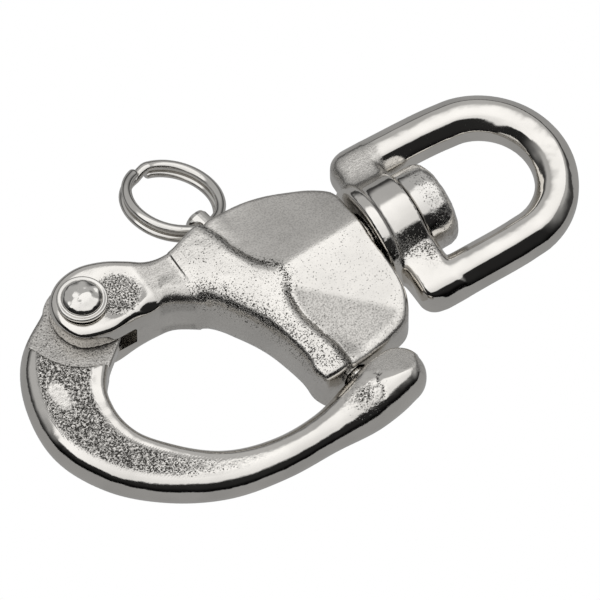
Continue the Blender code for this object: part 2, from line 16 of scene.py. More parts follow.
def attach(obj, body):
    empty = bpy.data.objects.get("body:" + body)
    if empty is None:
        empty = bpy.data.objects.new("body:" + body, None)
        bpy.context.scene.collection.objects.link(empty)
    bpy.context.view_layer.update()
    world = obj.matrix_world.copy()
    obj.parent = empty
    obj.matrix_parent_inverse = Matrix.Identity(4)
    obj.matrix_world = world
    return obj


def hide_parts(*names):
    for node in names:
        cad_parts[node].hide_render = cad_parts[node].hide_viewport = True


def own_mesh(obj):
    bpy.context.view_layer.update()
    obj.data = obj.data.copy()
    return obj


MM = 0.001

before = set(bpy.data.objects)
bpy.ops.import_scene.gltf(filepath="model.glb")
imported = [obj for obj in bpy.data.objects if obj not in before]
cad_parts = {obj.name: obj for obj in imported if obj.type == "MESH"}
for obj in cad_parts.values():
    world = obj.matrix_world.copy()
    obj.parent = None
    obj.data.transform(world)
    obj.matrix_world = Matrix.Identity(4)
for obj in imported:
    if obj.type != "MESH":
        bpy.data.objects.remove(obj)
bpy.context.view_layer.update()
ORIGIN = Vector((10.08, -0.51, 6.3))
ORIGIN_ROW = np.array(ORIGIN)


def place(x, y, z=0.0):
    """A design-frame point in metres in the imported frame."""
    return (Vector((x, y, z)) + ORIGIN) * MM


# ---------------------------------------------------------------- camera

VIEW_AZIMUTH = math.radians(-32.4)
VIEW_ELEVATION = math.radians(60.0)
VIEW_DISTANCE = 2500.0
PIXELS_PER_MM = 8.9
AIM_RIGHT = -7.98
AIM_UP = -7.06
PICTURE_SIDE = 600
SENSOR = 36.0


def view_axes():
    right = Vector((math.cos(VIEW_AZIMUTH), math.sin(VIEW_AZIMUTH), 0.0))
    ahead = Vector((-right.y, right.x, 0.0))
    up = ahead * math.sin(VIEW_ELEVATION) + Vector((0, 0, math.cos(VIEW_ELEVATION)))
    return right, up, right.cross(up)


def make_camera():
    right, up, back = view_axes()
    aim = right * AIM_RIGHT + up * AIM_UP
    data = bpy.data.cameras.new("camera")
    data.sensor_width = SENSOR
    data.lens = PIXELS_PER_MM * VIEW_DISTANCE * SENSOR / PICTURE_SIDE
    data.clip_start = 0.01
    data.clip_end = 20.0
    camera = bpy.data.objects.new("camera", data)
    bpy.context.scene.collection.objects.link(camera)
    camera.location = place(*(aim + back * VIEW_DISTANCE))
    camera.rotation_mode = "QUATERNION"
    camera.rotation_quaternion = back.to_track_quat("Z", "Y")
    bpy.context.scene.camera = camera


# ---------------------------------------------------------------- fields and meshing


def smooth_max(a, b, blend):
    return 0.5 * (a + b + np.hypot(a - b, blend))


def smooth_min(a, b, blend):
    return -smooth_max(-a, -b, blend)


def rounded_meet(a, b, radius):
    """Intersection of two distances with a round edge of the given radius."""
    outside = np.hypot(np.maximum(a + radius, 0), np.maximum(b + radius, 0))
    return np.minimum(np.maximum(a, b) + radius, 0) + outside - radius


def ramp(value, low, high):
    """0 below low, 1 above high, smooth between."""
    t = np.clip((value - low) / (high - low), 0, 1)
    return t * t * (3 - 2 * t)


def spline(points, per_span, closed=False):
    """A smooth curve through rows of numbers, whose first two columns are x and y."""
    pts = np.array(points, float)
    if closed:
        before, after = np.roll(pts, 1, 0), np.roll(pts, -1, 0)
    else:
        before = np.vstack([2 * pts[0] - pts[1], pts[:-1]])
        after = np.vstack([pts[1:], 2 * pts[-1] - pts[-2]])
    back = np.hypot(*(pts - before)[:, :2].T)[:, None]
    ahead = np.hypot(*(after - pts)[:, :2].T)[:, None]
    tangent = ((pts - before) / back * ahead + (after - pts) / ahead * back) / (back + ahead)
    spans = len(pts) if closed else len(pts) - 1
    curve = []
    for i in range(spans):
        j = (i + 1) % len(pts)
        t = (np.arange(per_span) / per_span)[:, None]
        chord = ahead[i]
        curve.append(
            (2 * t**3 - 3 * t**2 + 1) * pts[i]
            + (3 * t**2 - 2 * t**3) * pts[j]
            + chord * ((t**3 - 2 * t**2 + t) * tangent[i] + (t**3 - t**2) * tangent[j])
        )
    if not closed:
        curve.append(pts[-1:])
    return np.vstack(curve)


def nearest_on(curve, x, y):
    """For each point, the nearest place on an open curve: index with fraction, signed distance
    across (positive to the left of travel) and distance beyond its ends."""
    best = np.full(x.shape, 1e9)
    place_on = np.zeros(x.shape)
    across = np.zeros(x.shape)
    beyond = np.zeros(x.shape)
    last = len(curve) - 2
    for i in range(last + 1):
        ax, ay = curve[i, :2]
        run_x, run_y = curve[i + 1, :2] - curve[i, :2]
        length = math.hypot(run_x, run_y)
        ux, uy = run_x / length, run_y / length
        raw = (x - ax) * ux + (y - ay) * uy
        along = np.clip(raw, 0, length)
        away = np.hypot(x - ax - along * ux, y - ay - along * uy)
        closer = away < best
        best = np.where(closer, away, best)
        place_on = np.where(closer, i + along / length, place_on)
        across = np.where(closer, (y - ay) * ux - (x - ax) * uy, across)
        over = np.where(i == 0, np.maximum(-raw, 0), 0)
        over = over + np.where(i == last, np.maximum(raw - length, 0), 0)
        beyond = np.where(closer, over, beyond)
    return place_on, across, beyond


def along_curve(curve, column, place_on):
    """A column of the curve's numbers at fractional places on it."""
    return np.interp(place_on, np.arange(len(curve)), curve[:, column])


def outline_distance(outline, x, y):
    """Signed distance to a closed outline, negative inside."""
    best = np.full(x.shape, 1e9)
    inside = np.zeros(x.shape, bool)
    for (ax, ay), (bx, by) in zip(outline, np.roll(outline, -1, 0)):
        run_x, run_y = bx - ax, by - ay
        share = np.clip(((x - ax) * run_x + (y - ay) * run_y) / (run_x**2 + run_y**2), 0, 1)
        away = np.hypot(x - ax - share * run_x, y - ay - share * run_y)
        best = np.minimum(best, away)
        crosses = (ay > y) != (by > y)
        with np.errstate(divide="ignore", invalid="ignore"):
            at = ax + (y - ay) * run_x / (run_y if run_y else 1e-12)
        inside ^= crosses & (x < at)
    return np.where(inside, -best, best)


class PlanTable:
    """Numbers worked out once on a fine grid in plan, then read off anywhere."""

    PITCH = 0.1

    def __init__(self, low, high, make):
        self.low = np.array(low, float)
        counts = ((np.array(high) - low) / self.PITCH).astype(int) + 2
        xs = low[0] + np.arange(counts[0]) * self.PITCH
        ys = low[1] + np.arange(counts[1]) * self.PITCH
        grid_x, grid_y = np.meshgrid(xs, ys, indexing="ij")
        self.values = np.stack(make(grid_x, grid_y), -1)

    def __call__(self, x, y):
        u = np.clip((x - self.low[0]) / self.PITCH, 0, self.values.shape[0] - 1.001)
        v = np.clip((y - self.low[1]) / self.PITCH, 0, self.values.shape[1] - 1.001)
        i, j = u.astype(int), v.astype(int)
        s, t = (u - i)[..., None], (v - j)[..., None]
        table = self.values
        low = table[i, j] * (1 - s) + table[i + 1, j] * s
        high = table[i, j + 1] * (1 - s) + table[i + 1, j + 1] * s
        return np.moveaxis(low * (1 - t) + high * t, -1, 0)


NUDGE = 0.02
NET_PASSES = 2


def surface_net(field, low, high, step):
    """A quad mesh of the surface where the field is zero: points in mm and faces."""
    axes = [np.arange(low[k] - step, high[k] + 2 * step, step) for k in range(3)]
    grid = np.meshgrid(*axes, indexing="ij")
    value = field(*grid)
    shape = np.array(value.shape)
    total = np.zeros((*(shape - 1), 3))
    count = np.zeros(shape - 1)
    crossings = []
    for axis in range(3):
        near = np.take(value, range(shape[axis] - 1), axis)
        far = np.take(value, range(1, shape[axis]), axis)
        crossing = (near < 0) != (far < 0)
        index = np.argwhere(crossing)
        a, b = near[crossing], far[crossing]
        point = index.astype(float)
        point[:, axis] += a / (a - b)
        others = [k for k in range(3) if k != axis]
        keep = np.ones(len(index), bool)
        for k in others:
            keep &= (index[:, k] > 0) & (index[:, k] < shape[k] - 1)
        index, point, a = index[keep], point[keep], a[keep]
        corners = []
        for du, dv in ((-1, -1), (0, -1), (0, 0), (-1, 0)):
            cell = index.copy()
            cell[:, others[0]] += du
            cell[:, others[1]] += dv
            np.add.at(total, tuple(cell.T), point)
            np.add.at(count, tuple(cell.T), 1)
            corners.append(cell)
        turned = (a < 0) if axis != 1 else (a >= 0)
        crossings.append((corners, turned))
    used = count > 0
    number = np.full(used.shape, -1)
    number[used] = np.arange(used.sum())
    start = np.array([axis[0] for axis in axes])
    points = total[used] / count[used][:, None] * step + start
    faces = []
    for corners, turned in crossings:
        quad = np.stack([number[tuple(cell.T)] for cell in corners], 1)
        faces.append(np.where(turned[:, None], quad, quad[:, ::-1]))
    faces = np.vstack(faces)
    for _ in range(NET_PASSES):
        x, y, z = points.T
        here = field(x, y, z)
        slope = np.stack(
            [
                field(x + NUDGE, y, z) - field(x - NUDGE, y, z),
                field(x, y + NUDGE, z) - field(x, y - NUDGE, z),
                field(x, y, z + NUDGE) - field(x, y, z - NUDGE),
            ],
            1,
        ) / (2 * NUDGE)
        size = np.maximum((slope**2).sum(1), 0.1)
        shift = -here[:, None] * slope / size[:, None]
        length = np.linalg.norm(shift, axis=1, keepdims=True)
        points = points + shift * np.minimum(1, 0.4 * step / np.maximum(length, 1e-9))
    return points, faces


PIECE_SHARP_FROM = math.radians(40)
CAD_SHARP_FROM = math.radians(35)


def piece_from(name, points, faces, body, material, node, marks=None):
    """A finished piece from points in mm in the design frame.  It stands for a CAD node, and
    marks gives the material's masks at its points."""
    mesh = bpy.data.meshes.new(name)
    faces = faces.tolist() if hasattr(faces, "tolist") else faces
    mesh.from_pydata((points + ORIGIN_ROW) * MM, [], faces)
    mesh.validate()
    bm = bmesh.new()
    bm.from_mesh(mesh)
    bmesh.ops.dissolve_degenerate(bm, dist=1e-8, edges=bm.edges)
    bmesh.ops.recalc_face_normals(bm, faces=bm.faces)
    bm.to_mesh(mesh)
    bm.free()
    mesh.shade_smooth()
    mesh.set_sharp_from_angle(angle=PIECE_SHARP_FROM)
    mesh.materials.append(material)
    if marks:
        spots = np.empty(len(mesh.vertices) * 3)
        mesh.vertices.foreach_get("co", spots)
        x, y, z = (spots.reshape(-1, 3) / MM - ORIGIN_ROW).T
        for key, values in marks(x, y, z).items():
            attribute = mesh.attributes.new(key, "FLOAT", "POINT")
            attribute.data.foreach_set("value", np.clip(values, 0, 1))
    obj = bpy.data.objects.new(name, mesh)
    bpy.context.scene.collection.objects.link(obj)
    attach(obj, body)
    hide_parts(node)
    return obj


def tube_faces(rings, sides):
    """Faces that join rings of points, in order, into a closed tube."""
    faces = []
    for i in range(rings - 1):
        for k in range(sides):
            m = (k + 1) % sides
            faces.append([i * sides + k, i * sides + m, (i + 1) * sides + m, (i + 1) * sides + k])
    faces.append(list(range(sides))[::-1])
    faces.append(list(range((rings - 1) * sides, rings * sides)))
    return faces


def turned(profile, point, direction, steps):
    """Points and faces of a turned solid; the profile is (distance along, radius) in order."""
    axis = Vector(direction).normalized()
    side = axis.orthogonal().normalized()
    other = axis.cross(side)
    points = []
    for distance, radius in profile:
        for k in range(steps):
            angle = math.tau * k / steps
            radial = side * math.cos(angle) + other * math.sin(angle)
            points.append(Vector(point) + axis * distance + radial * radius)
    return np.array([tuple(p) for p in points]), tube_faces(len(profile), steps)


def swept_wire(path, radius, sides, across=Vector(), flatness=1.0):
    """Points and faces of a wire along a path of points, with rounded ends.  Its thickness
    along the direction across is multiplied by flatness."""
    path = [Vector(p) for p in path]
    points = []
    tangents = []
    for i in range(len(path)):
        tangents.append((path[min(i + 1, len(path) - 1)] - path[max(i - 1, 0)]).normalized())
    side = tangents[0].orthogonal().normalized()
    frames = []
    for point, tangent in zip(path, tangents):
        side = (side - tangent * side.dot(tangent)).normalized()
        frames.append((point, tangent, side, tangent.cross(side)))
    start = [(frames[0], -0.35 * radius, 0.8), (frames[0], -0.12 * radius, 0.95)]
    end = [(frames[-1], 0.12 * radius, 0.95), (frames[-1], 0.35 * radius, 0.8)]
    for (point, tangent, u, v), shift, size in start + [(f, 0.0, 1.0) for f in frames] + end:
        for k in range(sides):
            angle = math.tau * k / sides
            offset = (u * math.cos(angle) + v * math.sin(angle)) * radius * size
            offset -= across * offset.dot(across) * (1 - flatness)
            points.append(point + tangent * shift + offset)
    rings = len(start) + len(frames) + len(end)
    return np.array([tuple(p) for p in points]), tube_faces(rings, sides)


# ---------------------------------------------------------------- shape numbers

GAP = 0.3

HINGE = (-33.1, 8.25)
SLOT_HALF = 1.45
SLOT_RADIUS = 6.3
TONGUE_HALF = 1.15
TONGUE_RADIUS = 4.5
SHOULDER_RADIUS = 7.4
RIVET_HOLE_RADIUS = 2.2
ARM_HEIGHT = 4.1
ARM_START = -21.6
SEAT_X = -1.5
LEAST_HEIGHT = 2.1
LUG_DISH = (-29.2, 7.1)
LUG_DISH_DEPTH = 0.22
ARM_STEP = (-26.9, 6.2)
ARM_STEP_RISE = 0.12

# The roof's crest at the seat, how round the crest is, and the least height at each side.
ROOF_TOP = 5.45
ROOF_CREST_ROUND = 0.7
ROOF_LEAST_RING_SIDE = 2.25
ROOF_LEAST_TIP_SIDE = 2.0

# The broad ridge falls away from its crest by distance squared over these, and it is a
# round of the third number beside the opening.
RIDGE_EYE_SPREAD = 60
RIDGE_ARM_SPREAD = 30
RIDGE_ROUND = 5.0
RIDGE_SHOULDER = 1.6
SHOULDER_STEEPNESS = 3

PLUNGER_X = -13.4
PLUNGER_TILT = math.radians(9.3)
PLUNGER_AXIS = Vector((math.sin(PLUNGER_TILT), -math.cos(PLUNGER_TILT), 0.0))
PLUNGER_ROLL = math.radians(22)
BORE_RADIUS = 2.2
BORE_COVER_RADIUS = 2.75
GUIDE_RADIUS = 1.5
GUIDE_COVER_RADIUS = 2.3
BORE_END = 2.6
BUSH_TO = -7.2
COLLAR_FROM = 0.6
SOCKET_END = 17.8

STUD_HOLE_RADIUS = 3.2
STUD_HOLE_END = -7.5

BODY_OUTLINE = (
    (SEAT_X, 2.5),
    (-1.7, 5.75),
    (-3.2, 7.4),
    (-5.6, 8.85),
    (-8.0, 9.9),
    (-11.4, 10.6),
    (-14.6, 10.5),
    (-16.8, 10.0),
    (-19.1, 9.3),
    (-21.3, 8.65),
    (-22.8, 8.65),
    (-24.3, 9.2),
    (-25.9, 10.35),
    (-28.3, 11.8),
    (-31.5, 12.65),
    (-34.2, 12.1),
    (-36.3, 10.2),
    (-36.85, 7.4),
    (-35.6, 4.6),
    (-33.0, 3.5),
    (-29.0, 3.3),
    (-26.6, 3.3),
    (-24.6, 3.1),
    (-22.85, 2.15),
    (-21.1, 0.8),
    (-19.3, -1.7),
    (-17.75, -4.5),
    (-16.65, -7.8),
    (-16.1, -10.7),
    (-15.65, -13.35),
    (-15.0, -14.4),
    (-14.1, -14.5),
    (-11.0, -14.08),
    (-8.0, -13.56),
    (-5.6, -13.15),
    (-3.0, -12.2),
    (-1.5, -9.9),
    (-1.2, -6.9),
    (SEAT_X, -2.5),
)

# Crest of the broad ridge over the plunger: x, y, height.
RIDGE_CREST = (
    (-13.6, -16.5, 3.3),
    (-14.1, -11.0, 3.8),
    (-14.4, -7.0, 4.05),
    (-15.4, -3.5, 4.2),
    (-17.2, 1.0, 4.45),
    (-18.4, 5.0, 4.6),
    (-18.9, 12.0, 4.45),
)

# The valley between that ridge and the roof: x, y from the ring side to the flank.
VALLEY = (
    (-16.9, 13.5),
    (-16.2, 10.2),
    (-15.2, 7.7),
    (-14.5, 4.9),
    (-13.3, 2.6),
    (-11.6, 0.8),
    (-11.5, -1.2),
    (-12.5, -3.6),
    (-12.7, -5.6),
    (-12.1, -8.4),
    (-11.4, -11.2),
    (-11.3, -16.0),
)

JAW_STATIONS = (
    (-34.2, 7.0, 9.5, 2.6, 2.4, 1.1),
    (-38.15, 3.9, 10.0, 2.6, 2.5, 1.1),
    (-40.55, -0.77, 9.05, 2.6, 2.6, 1.0),
    (-40.95, -4.3, 8.6, 2.6, 2.6, 1.0),
    (-39.45, -9.4, 7.3, 2.6, 2.6, 1.1),
    (-35.67, -13.83, 6.35, 2.55, 2.6, 1.3),
    (-30.32, -17.3, 5.35, 2.4, 2.5, 1.8),
    (-24.0, -18.75, 4.7, 2.3, 2.3, 2.2),
    (-17.6, -18.7, 4.75, 2.45, 2.35, 2.3),
    (-12.2, -18.05, 6.3, 3.1, 3.0, 2.6),
    (-8.6, -17.25, 6.6, 3.2, 3.1, 2.6),
    (-7.15, -16.95, 6.3, 3.15, 3.0, 2.6),
)


# ---------------------------------------------------------------- body


def ridge_height(x, y):
    """Height of the broad ridge over the plunger, with a steep shoulder down to the roof."""
    crest = spline(RIDGE_CREST, 6)
    place_on, across, _ = nearest_on(crest, x, y)
    top = along_curve(crest, 2, place_on)
    eye_side = across < 0
    away = np.abs(across)
    gentle = away**2 / RIDGE_EYE_SPREAD
    round_side = RIDGE_ROUND - np.sqrt(np.maximum(RIDGE_ROUND**2 - away**2, 0))
    arm_side = away**2 / RIDGE_ARM_SPREAD
    opening = ramp(-y, -3, 1)
    top = top - np.where(eye_side, gentle, round_side * opening + arm_side * (1 - opening))
    _, inside, _ = nearest_on(spline(VALLEY, 6), x, y)
    into = np.clip(RIDGE_SHOULDER + inside, 0, 20)
    reach = np.clip(into, 0, RIDGE_SHOULDER)
    drop = RIDGE_SHOULDER - np.sqrt(np.maximum(RIDGE_SHOULDER**2 - reach**2, 0))
    steep = (into - RIDGE_SHOULDER) * SHOULDER_STEEPNESS
    drop = drop + np.where(into > RIDGE_SHOULDER, steep, 0)
    return np.maximum(top - drop, 0)


def plunger_coordinates(x, y):
    """Distance along the plunger's axis and across it, in plan."""
    along = (x - PLUNGER_X) * PLUNGER_AXIS.x + y * PLUNGER_AXIS.y
    across = (x - PLUNGER_X) * PLUNGER_AXIS.y - y * PLUNGER_AXIS.x
    return along, across


def body_height(x, y):
    """Height of the body's upper face above the middle plane."""
    fall = 0.115 * (SEAT_X - x) + 0.0045 * np.maximum(-5 - x, 0) ** 1.5
    slope = np.where(y > 0, 0.2 + 0.016 * np.clip(x + 12, 0, 12), 0.235)
    roof = ROOF_TOP - fall - slope * (np.hypot(y, ROOF_CREST_ROUND) - ROOF_CREST_ROUND)
    least = np.where(y > 0, ROOF_LEAST_RING_SIDE, ROOF_LEAST_TIP_SIDE)
    roof = smooth_max(roof, least, 0.25)
    arm = ARM_HEIGHT - 0.9 * np.maximum(x - ARM_START, 0)
    height = smooth_max(roof, ridge_height(x, y), 0.28)
    height = smooth_max(height, arm, 0.2)
    height = np.where(x < ARM_START, np.minimum(height, ARM_HEIGHT + 0.02), height)
    along, away = plunger_coordinates(x, y)
    widening = ramp(-along, -4.5, -2.5)
    radius = GUIDE_COVER_RADIUS + (BORE_COVER_RADIUS - GUIDE_COVER_RADIUS) * widening
    cover = np.sqrt(np.maximum(radius**2 - away**2, 0))
    height = smooth_max(height, cover, 0.6)
    dish = np.hypot(x - LUG_DISH[0], y - LUG_DISH[1])
    height = height - LUG_DISH_DEPTH * (1 - ramp(dish, 2.4, 3.3)) * ramp(x, -33, -31.5)
    step = np.hypot(x - ARM_STEP[0], y - ARM_STEP[1])
    rise = ARM_STEP_RISE * ramp(step, 2.3, 2.7) * (1 - ramp(step, 2.7, 5.2))
    height = height + rise * ramp(-x, 21, 24) * ramp(6 - y, -0.5, 1)
    return np.maximum(height, LEAST_HEIGHT)


def body_plan(x, y):
    """Distance to the outline, height, slope factor and edge radius, for the plan table."""
    outline = spline(BODY_OUTLINE, 6, closed=True)
    away = outline_distance(outline, x, y)
    height = body_height(x, y)
    dx, dy = np.gradient(height, PlanTable.PITCH)
    lean = 1 / np.sqrt(1 + np.minimum(dx**2 + dy**2, 2.0))
    opening_side = ramp(y, -14.5, -10) * ramp(-x, 14, 17) * ramp(x, -32, -28)
    opening_side = opening_side * ramp(6.5 + 0.3 * (x + 22) - y, -1, 1)
    lug_rim = ramp(-x, 22, 25)
    edge = 0.5 + 1.5 * opening_side + 0.45 * lug_rim * (1 - opening_side)
    edge = edge * (1 - 0.5 * ramp(-y, 11.5, 13))
    return away, height, lean, edge


BODY_TABLE = PlanTable((-39.5, -17.0), (1.0, 15.0), body_plan)


def body_field(x, y, z):
    """Negative inside the body."""
    away, height, lean, edge = BODY_TABLE(x, y)
    flank = ramp(y, -7.0, -11.0) * 0.5
    solid = rounded_meet((np.abs(z) - height) * lean, away, edge + flank)
    from_hinge = np.hypot(x - HINGE[0], y - HINGE[1])
    slot = rounded_meet(from_hinge - SLOT_RADIUS, np.abs(z) - SLOT_HALF, 0.02)
    solid = rounded_meet(solid, -slot, 0.12)
    solid = np.maximum(solid, RIVET_HOLE_RADIUS - from_hinge)
    along, across = plunger_coordinates(x, y)
    from_axis = np.hypot(across, z)
    bore = np.maximum(from_axis - BORE_RADIUS, along - BORE_END)
    guide = np.maximum(from_axis - GUIDE_RADIUS, -along)
    solid = rounded_meet(solid, -np.minimum(bore, guide), 0.1)
    stud = np.maximum(np.hypot(y, z) - STUD_HOLE_RADIUS, STUD_HOLE_END - x)
    return np.maximum(solid, -stud)


# ---------------------------------------------------------------- jaw

JAW_CURVE = spline(JAW_STATIONS, 12)


def jaw_plan(x, y):
    """Distance to the jaw's outline, half height, edge radius and place, for the plan table."""
    place_on, across, beyond = nearest_on(JAW_CURVE, x, y)
    width = along_curve(JAW_CURVE, 2, place_on)
    half_height = along_curve(JAW_CURVE, 3, place_on)
    outer = along_curve(JAW_CURVE, 4, place_on)
    inner = along_curve(JAW_CURVE, 5, place_on)
    reach = np.hypot(across, beyond)
    across = np.where(beyond > 0, np.copysign(reach, across), across)
    radius = np.where(across < 0, outer, inner)
    return np.abs(across) - width / 2, half_height, radius, across, place_on


JAW_TABLE = PlanTable((-47.5, -23.0), (-3.0, 14.5), jaw_plan)


FLANK_START = (-6.04, -13.22)
FLANK_END = (-15.39, -14.85)
FLANK_REACH = 10.5
TIP_CLEARANCE = 0.4
TIP_START = -16
TIP_CREST = (-9.84, -16.5)
TIP_CREST_ACROSS = (0.463, 0.886)
TIP_CREST_HEIGHT = 2.95
TIP_FACET_SLOPE = 0.33
CREASE_WIDTH = 0.22
CREASE_DEPTH = 0.16
# Stands for the distance where the tip's cuts don't reach.
FAR_INSIDE = -5.0


def tip_face(x, y):
    """Positive beyond the machined face of the tip, towards the body's flank."""
    run = Vector(FLANK_END) - Vector(FLANK_START)
    run.normalize()
    across = (y - FLANK_START[1]) * -run.x + (x - FLANK_START[0]) * run.y
    along = (x - FLANK_START[0]) * run.x + (y - FLANK_START[1]) * run.y
    return np.where(along > FLANK_REACH, FAR_INSIDE, across + TIP_CLEARANCE)


def past_crest(x, y):
    """Distance past the crest of the jaw's tip, towards its flat end facet."""
    across_x, across_y = TIP_CREST_ACROSS
    return (x - TIP_CREST[0]) * across_x + (y - TIP_CREST[1]) * across_y


def crease_offset(x, y):
    """Sideways distance to the jagged crease across the jaw's tip."""
    jagged = x + 10.25 - 0.25 * (y + 18) + 0.22 * np.sin(3.1 * y)
    return jagged + 0.1 * np.sin(7.3 * y + 1)


def jaw_field(x, y, z):
    """Negative inside the jaw."""
    away, half_height, radius, _, _ = JAW_TABLE(x, y)
    upright_radius = np.minimum(radius, half_height)
    sideways = np.maximum(away + radius, 0) / radius
    upright = np.maximum(np.abs(z) - half_height + upright_radius, 0) / upright_radius
    solid = (np.hypot(sideways, upright) - 1) * np.minimum(radius, upright_radius)
    solid = np.maximum(solid, np.maximum(away, np.abs(z) - half_height))
    from_hinge = np.hypot(x - HINGE[0], y - HINGE[1])
    relief = np.maximum(from_hinge - SHOULDER_RADIUS, TONGUE_HALF - np.abs(z))
    solid = rounded_meet(solid, -relief, 0.25)
    tongue = rounded_meet(from_hinge - TONGUE_RADIUS, np.abs(z) - TONGUE_HALF, 0.15)
    solid = np.minimum(solid, tongue)
    solid = np.maximum(solid, RIVET_HOLE_RADIUS - from_hinge)
    solid = rounded_meet(solid, tip_face(x, y), 0.35)
    past = np.where(x > TIP_START, past_crest(x, y), FAR_INSIDE)
    facet = (np.abs(z) - TIP_CREST_HEIGHT + TIP_FACET_SLOPE * past) * 0.95
    solid = rounded_meet(solid, facet, 0.12)
    crease = np.abs(crease_offset(x, y)) + 0.6 * np.maximum(2.2 - np.abs(z), 0)
    groove = CREASE_DEPTH * np.exp(-((crease / CREASE_WIDTH) ** 2))
    solid = solid + groove * (past < 0.1) * (y < -14) * (y > -19.6)
    along, offset = plunger_coordinates(x, y)
    socket = np.maximum(np.hypot(offset, z) - GUIDE_RADIUS, along - SOCKET_END)
    return np.maximum(solid, -socket)


# ---------------------------------------------------------------- bail

BAIL_OFFSET = -0.65
BAR_LOW = 0.35
BAR_HIGH = 5.4
BAR_HALF_WIDTH = 11.0
BAR_HALF_HEIGHT = 2.6
BAR_CORNER = 1.9
LEG_FOOT = (3.0, 8.9)
LEG_HEAD = (14.4, 8.6)
HOOP_RADIUS = 2.65
CROWN_REACH = 8.2
CROWN_SPANS = 7
FLANGE_RADIUS = 6.25
FLANGE_TOP = 0.5
BOSS_RADIUS = 5.65
BOSS_BOTTOM = -0.7
BOSS_TOP = 4.7
SEAT_RADIUS = 5.35
SEAT_REACH = 10
BAIL_HOLE_END = 8


def bail_offset(x):
    """How far the bail's middle line stands off the swivel's axis in y."""
    return BAIL_OFFSET - 0.2 * min(max((x - 10) / 10, 0), 1)


def bail_curve():
    """The middle line of the bail's hoop: x, y and the section's radius."""
    side = [(*LEG_FOOT, HOOP_RADIUS), (8.0, 8.85, HOOP_RADIUS)]
    for k in range(CROWN_SPANS):
        angle = math.pi / 2 * k / (CROWN_SPANS - 0.5)
        radius = HOOP_RADIUS - 0.05 * k / CROWN_SPANS
        side.append(
            (LEG_HEAD[0] + CROWN_REACH * math.sin(angle), LEG_HEAD[1] * math.cos(angle), radius)
        )
    hoop = side + [(x, -y, radius) for x, y, radius in reversed(side)]
    return spline([(x, y + bail_offset(x), radius) for x, y, radius in hoop], 8)


BAIL_CURVE = bail_curve()


def bail_plan(x, y):
    """Distance to the hoop's middle line and its section's radius, for the plan table."""
    place_on, across, beyond = nearest_on(BAIL_CURVE, x, y)
    radius = along_curve(BAIL_CURVE, 2, place_on)
    return np.hypot(across, beyond), radius


BAIL_TABLE = PlanTable((-2.0, -14.5), (27.0, 13.5), bail_plan)


def softened_section(a, b, radius):
    """A round section flattened a little towards an octagon."""
    round_part = np.hypot(a, b) - radius
    flats = np.maximum(np.maximum(a, b), (a + b) * math.sqrt(0.5)) - 0.96 * radius
    return smooth_max(round_part, flats, 0.15)


def bail_field(x, y, z):
    """Negative inside the bail."""
    away, radius = BAIL_TABLE(x, y)
    hoop = softened_section(away, np.abs(z), radius)
    wide = np.abs(y - BAIL_OFFSET)
    in_plan = rounded_meet(wide - BAR_HALF_WIDTH, BAR_LOW - x, BAR_CORNER)
    in_plan = rounded_meet(in_plan, x - BAR_HIGH, 0.4)
    bar = rounded_meet(in_plan, np.abs(z) - BAR_HALF_HEIGHT - 0.06 * (8 - wide), 1.5)
    solid = smooth_min(hoop, bar, 0.25)
    from_axis = np.hypot(y, z)
    thick = np.maximum(BOSS_BOTTOM - x, x - FLANGE_TOP)
    flange = rounded_meet(from_axis - FLANGE_RADIUS, thick, 0.3)
    thick = np.maximum(BOSS_BOTTOM - x, x - BOSS_TOP)
    boss = rounded_meet(from_axis - BOSS_RADIUS, thick, 0.3)
    boss = smooth_min(boss, flange, 0.5)
    solid = smooth_min(solid, boss, 0.5)
    seat = np.maximum(from_axis - SEAT_RADIUS, np.maximum(BOSS_TOP - x, x - SEAT_REACH))
    solid = rounded_meet(solid, -seat, 0.15)
    hole = np.maximum(from_axis - STUD_HOLE_RADIUS, x - BAIL_HOLE_END)
    return np.maximum(solid, -hole)


# ---------------------------------------------------------------- materials


def math_node(tree, operation, *values, clamp=False):
    """A Math node whose inputs are sockets or numbers; returns its output."""
    node = tree.nodes.new("ShaderNodeMath")
    node.operation = operation
    node.use_clamp = clamp
    for socket, value in zip(node.inputs, values):
        if isinstance(value, (int, float)):
            socket.default_value = value
        else:
            tree.links.new(value, socket)
    return node.outputs[0]


def ramp_node(tree, value, low, high, out_low=0.0, out_high=1.0):
    """Smooth step from out_low at low to out_high at high."""
    node = tree.nodes.new("ShaderNodeMapRange")
    node.interpolation_type = "SMOOTHSTEP"
    tree.links.new(value, node.inputs["Value"])
    numbers = {"From Min": low, "From Max": high, "To Min": out_low, "To Max": out_high}
    for name, number in numbers.items():
        node.inputs[name].default_value = number
    return node.outputs[0]


def noise_node(tree, scale, detail=2.0, roughness=0.5):
    """Noise in the piece's own coordinates; scale is features to the millimetre."""
    coordinates = tree.nodes.new("ShaderNodeTexCoord").outputs["Object"]
    node = tree.nodes.new("ShaderNodeTexNoise")
    node.inputs["Scale"].default_value = scale / MM
    node.inputs["Detail"].default_value = detail
    node.inputs["Roughness"].default_value = roughness
    tree.links.new(coordinates, node.inputs["Vector"])
    return node.outputs[0]


def mark_node(tree, key):
    """One of a marked piece's masks."""
    node = tree.nodes.new("ShaderNodeAttribute")
    node.attribute_name = key
    return node.outputs["Fac"]


# Painted shade: the dark colour that pits, the grain's hollows and some facets are mixed towards;
# it also darkens the blasted faces' sand speckle.
SHADE_AND_SPECKLE_COLOUR = (0.025, 0.023, 0.02)
PIT_SHARPNESS = 18.0
RELIEF_DEPTH = 0.16


